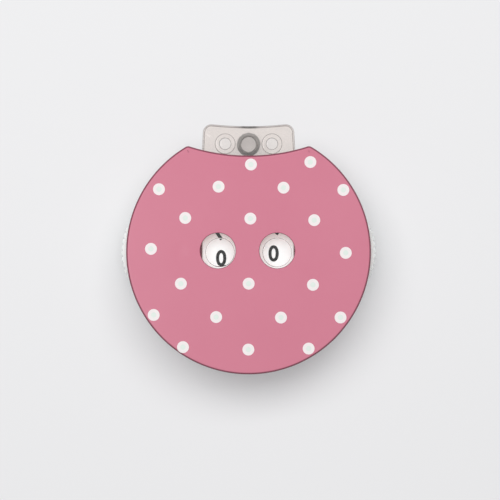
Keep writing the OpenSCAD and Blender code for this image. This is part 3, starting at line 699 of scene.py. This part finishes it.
def makeWheel(name, side, node):
    # a turned section whose outer points are drawn in by the grip teeth and whose click ring is
    # lifted by the notches, so every point is a function of its place on the section and its angle
    back, face, bore, ring, outer = (wheel[key] for key in ("back", "face", "bore", "ring", "radius"))
    small, chamfer, crest = wheel["grooveEdge"], wheel["chamfer"], wheel["crest"]
    slope, slopeIn, slopeUp = wheel["slope"], wheel["slopeIn"], wheel["slopeUp"]
    ringIn, ringOut, rim = ring - wheel["ringWidth"] / 2, ring + wheel["ringWidth"] / 2, outer - wheel["rim"]
    web = face - wheel["web"]

    def groove(start, end):
        # down into the back at one radius, along the web and out again at another
        return [(start - small, back), (start, back + small), (start, web - small), (start + small, web),
                (end - small, web), (end, web - small), (end, back + small), (end + small, back)]

    section = [(bore, back + small), (bore + small, back), *groove(wheel["hub"], ringIn),
               (ring - crest, back), (ring, back), (ring + crest, back), *groove(ringOut, rim),
               (outer - chamfer - slopeIn, back), (outer - chamfer, back + slope),
               (outer - slope, back + chamfer), (outer, back + chamfer + slopeUp),
               (outer, face - chamfer - slopeUp), (outer - slope, face - chamfer),
               (outer - chamfer, face - slope), (outer - chamfer - slopeIn, face),
               *[(radius, face) for radius in wheel["faceRings"]], (bore + small, face), (bore, face - small)]
    radius, height = np.array(section).T
    around = fullTurn(wheel["steps"])

    # each tooth's turn is a flat land, then a vee whose depth fades in over the section's last stretch
    turn = (around * wheel["teeth"] / (2 * pi)) % 1
    vee = np.clip(1 - np.abs(turn - wheel["toothMiddle"]) / wheel["toothHalf"], 0, 1)
    toothFoot = outer - wheel["toothDepth"] - wheel["toothStart"]
    share = np.clip((radius - toothFoot) / wheel["toothDepth"], 0, 1)
    reach = radius[:, None] - wheel["toothDepth"] * share[:, None] * vee[None]

    # a notch lifts the ring by its depth less the way along the ring from the notch's middle
    notchTurn = (around + pi / 2) * wheel["notches"] / (2 * pi)
    away = np.abs(notchTurn - np.round(notchTurn)) * 2 * pi / wheel["notches"] * ring
    lift = np.clip(wheel["notchDepth"] - away, 0, None)
    near = wheel["near"]
    onRing = (radius > ringIn - near) & (radius < ringOut + near) & (height < back + small + near)
    level = height[:, None] + onRing[:, None] * lift[None]

    points = np.stack([side * axisX + reach * np.cos(around), reach * np.sin(around), level], -1)
    faces = quads(len(section), len(around), wrapRows=True, wrapCols=True)
    mesh = buildMesh(name, points.reshape(-1, 3), faces)
    finishObject(name, mesh, [acetal], node, [node], smoothAngle=30)


makeWheel("tensWheel", -1, "tens_wheel")
makeWheel("onesWheel", 1, "ones_wheel")

# printed figures: "angle" is where on its wheel the first figure stands, in degrees, and "direction"
# the way round that the next ones follow; "bolder", which widens the strokes, and "thick" are in the
# font's own units

figures = {"height": 3.25, "width": 2.06, "film": 0.012, "bolder": 0.027, "thick": 0.005, "curveSteps": 6,
           "tens": {"side": -1, "ring": 8.16, "angle": -8.6, "direction": 1},
           "ones": {"side": 1, "ring": 8.54, "angle": 182.0, "direction": -1}}


def figureMesh(figure):
    # the points and faces of one figure's outline, filled and a little thick
    curve = bpy.data.curves.new("figure", "FONT")
    curve.body = figure
    curve.resolution_u = figures["curveSteps"]
    curve.fill_mode = "BOTH"
    curve.extrude = figures["thick"]
    curve.offset = figures["bolder"]
    obj = addObject("figure", curve)
    mesh = evaluated(obj)
    points, faces = meshPoints(mesh), [list(polygon.vertices) for polygon in mesh.polygons]
    bpy.data.objects.remove(obj)
    bpy.data.meshes.remove(mesh)
    return points, faces


def makeFigures(name, body, place):
    # ten figures round the wheel, each centred on its own middle, set to height and width as the
    # nought is, and upright when it stands where the first one does
    shapes = [figureMesh(str(i)) for i in range(10)]
    size = np.ptp(shapes[0][0], axis=0)
    scale = np.array([figures["width"] / size[0], figures["height"] / size[1], 0])
    first = radians(place["angle"])
    points, faces, count = [], [], 0
    for i, (flat, outlines) in enumerate(shapes):
        middle = (flat.max(0) + flat.min(0)) / 2
        upright = (flat - middle) * scale
        upright[:, 0] += place["ring"] * cos(first)
        upright[:, 1] += place["ring"] * sin(first)
        film = np.sign(flat[:, 2] - middle[2]) * figures["film"]
        turn = radians(360 / len(shapes)) * i * place["direction"]
        x = upright[:, 0] * cos(turn) - upright[:, 1] * sin(turn)
        y = upright[:, 0] * sin(turn) + upright[:, 1] * cos(turn)
        points.append(np.stack([x + place["side"] * axisX, y, film + wheel["face"]], -1))
        faces += [[corner + count for corner in face] for face in outlines]
        count += len(flat)
    mesh = buildMesh(name, np.concatenate(points), faces)
    finishObject(name, mesh, [blackInk], body, (), smoothAngle=30)


makeFigures("tensFigures", "tens_wheel", figures["tens"])
makeFigures("onesFigures", "ones_wheel", figures["ones"])

# steel parts: the coil's end turns are closed for "dead" turns; nothing here squashes the coil, and
# "head" and "keep" are not used

spring = {"y": tab["pinY"], "foot": 1.855, "rise": 3.79, "diameter": 4.8, "tabDiameter": 3.7, "wire": 0.45,
          "turns": 4.5, "dead": 0.75, "deadPitch": 0.47, "steps": 60, "sides": 14, "head": 5.9, "keep": 0.5}


def makeSpring():
    # a round wire carried along a tapered coil: at each turn the coil's radius is a straight taper and
    # its height climbs slowly in the closed end turns and evenly between them, and the wire's circle
    # stands in the plane of the radius and Z round that point
    turns, dead, rise, wire = (spring[key] for key in ("turns", "dead", "rise", "wire"))
    along = np.linspace(0, turns, int(turns * spring["steps"]) + 1)
    end = dead * spring["deadPitch"]
    pitch = (rise - 2 * end) / (turns - 2 * dead)
    height = np.where(along < dead, along * spring["deadPitch"],
                      np.where(along > turns - dead, rise - (turns - along) * spring["deadPitch"],
                               end + (along - dead) * pitch))
    share = along / turns
    middle = (spring["diameter"] * (1 - share) + spring["tabDiameter"] * share - wire) / 2
    around = fullTurn(spring["sides"])
    reach = middle[:, None] + wire / 2 * np.cos(around)
    turn = 2 * pi * along[:, None]
    level = spring["foot"] + height[:, None] + wire / 2 * np.sin(around)
    points = np.stack([reach * np.cos(turn), spring["y"] + reach * np.sin(turn), level], -1)
    rows, cols = points.shape[:2]
    faces = quads(rows, cols, wrapCols=True).tolist() + endCaps(rows, cols)
    mesh = buildMesh("clipSpring", points.reshape(-1, 3), faces)
    return finishObject("clipSpring", mesh, [steel], "case", ["clip_spring"], smoothAngle=40)


clipSpring = makeSpring()
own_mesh(clipSpring)

for node in ("tens_click_spring", "ones_click_spring", "hinge_pin"):
    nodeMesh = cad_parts[node].data
    nodeMesh.materials.clear()
    nodeMesh.materials.append(steel)

# floor, light and camera

paper = {"floor": "#E6E6E7", "lit": "#BDBDBE", "glow": "#939394", "roughness": 0.9, "shine": 0.2,
         "fibreSize": 1.5, "fibre": 0.003, "size": 3000.0, "drop": 0.03}


def bySight(tree, lighting, seen):
    # one shader for what lights the object and another for what is seen, straight or in gloss and glass
    path = addNode(tree, "ShaderNodeLightPath")
    either = addNode(tree, "ShaderNodeMath", {"operation": "MAXIMUM"},
                     {0: path.outputs["Is Camera Ray"], 1: path.outputs["Is Glossy Ray"]})
    sight = addNode(tree, "ShaderNodeMath", {"operation": "MAXIMUM"},
                    {0: either.outputs[0], 1: path.outputs["Is Transmission Ray"]})
    mixed = addNode(tree, "ShaderNodeMixShader", links={0: sight.outputs[0], 1: lighting, 2: seen})
    return mixed.outputs["Shader"]


def mattPaper():
    # matt white paper on a light table: seen, part of its brightness comes through from below, so
    # that the shadow on it stays pale; what it throws back on the counter is plain white paper's
    material, tree, where = newMaterial("mattPaper")
    fibre = addNode(tree, "ShaderNodeTexNoise", {"Scale": 1 / (paper["fibreSize"] * mm), "Detail": 3.0},
                    {"Vector": where})
    bump = addNode(tree, "ShaderNodeBump", {"Distance": paper["fibre"] * mm},
                   {"Height": fibre.outputs["Fac"]})
    plain = addNode(tree, "ShaderNodeBsdfPrincipled", {"Base Color": toLinear(paper["floor"]),
                    "Roughness": paper["roughness"], "Specular IOR Level": paper["shine"]},
                    {"Normal": bump.outputs["Normal"]})
    lit = addNode(tree, "ShaderNodeBsdfDiffuse", {"Color": toLinear(paper["lit"])},
                  {"Normal": bump.outputs["Normal"]})
    glow = addNode(tree, "ShaderNodeEmission", {"Color": toLinear(paper["glow"]), "Strength": 1.0})
    seen = addNode(tree, "ShaderNodeAddShader", links={0: lit.outputs["BSDF"], 1: glow.outputs["Emission"]})
    surface = bySight(tree, plain.outputs["BSDF"], seen.outputs["Shader"])
    addNode(tree, "ShaderNodeOutputMaterial", links={"Surface": surface})
    return material


def makeFloor():
    # one square just below the counter's back
    half, z = paper["size"] * mm / 2, -paper["drop"] * mm
    corners = [(-half, -half, z), (half, -half, z), (half, half, z), (-half, half, z)]
    mesh = bpy.data.meshes.new("floor")
    mesh.from_pydata(corners, [], [(0, 1, 2, 3)])
    mesh.materials.append(mattPaper())
    addObject("floor", mesh)


makeFloor()

# lamps are placed in metres, and only "softSide" shows as a glint
light = {"world": 0.12, "worldColour": "#FFFFFF", "ceiling": "#EDEDEE", "glints": "softSide",
         "lamps": {"softKey": {"place": (-0.04, 0.27, 0.62), "size": (0.8, 0.38), "power": 4.6},
                   "softSide": {"place": (-0.2, -0.02, 0.62), "size": (0.2, 0.3), "power": 0.3},
                   "softTop": {"place": (0.0, -0.03, 0.66), "size": (0.25, 0.25), "power": 0.75}}}

world = bpy.data.worlds.new("studio")
world.use_nodes = True
sky = world.node_tree
sky.nodes.clear()
room = addNode(sky, "ShaderNodeBackground", {"Color": toLinear(light["worldColour"]),
               "Strength": light["world"]})
ceiling = addNode(sky, "ShaderNodeBackground", {"Color": toLinear(light["ceiling"]), "Strength": 1.0})
surroundings = bySight(sky, room.outputs["Background"], ceiling.outputs["Background"])
addNode(sky, "ShaderNodeOutputWorld", links={"Surface": surroundings})
scene.world = world

for name, settings in light["lamps"].items():
    lampData = bpy.data.lights.new(name, "AREA")
    lampData.shape, lampData.energy = "RECTANGLE", settings["power"]
    lampData.size, lampData.size_y = settings["size"]
    lamp = addObject(name, lampData)
    lamp.location = settings["place"]
    lamp.rotation_euler = (-Vector(settings["place"])).to_track_quat("-Z", "Y").to_euler()
    lamp.visible_transmission = False
    lamp.visible_glossy = name == light["glints"]

# the camera looks straight down from "height" above the plate's face on a field "width" across
view = {"x": 0.286, "y": 0.385, "plane": 12.35, "height": 600.0, "width": 98.7, "sensor": 36.0,
        "near": 10.0, "far": 10000.0}
cameraData = bpy.data.cameras.new("camera")
cameraData.sensor_width = view["sensor"]
cameraData.lens = view["sensor"] * view["height"] / view["width"]
cameraData.clip_start, cameraData.clip_end = view["near"] * mm, view["far"] * mm
camera = addObject("camera", cameraData)
camera.location = (view["x"] * mm, view["y"] * mm, (view["plane"] + view["height"]) * mm)
scene.camera = camera
print("floor, light and camera made")

scene.view_settings.view_transform = "Standard"
bpy.context.view_layer.update()
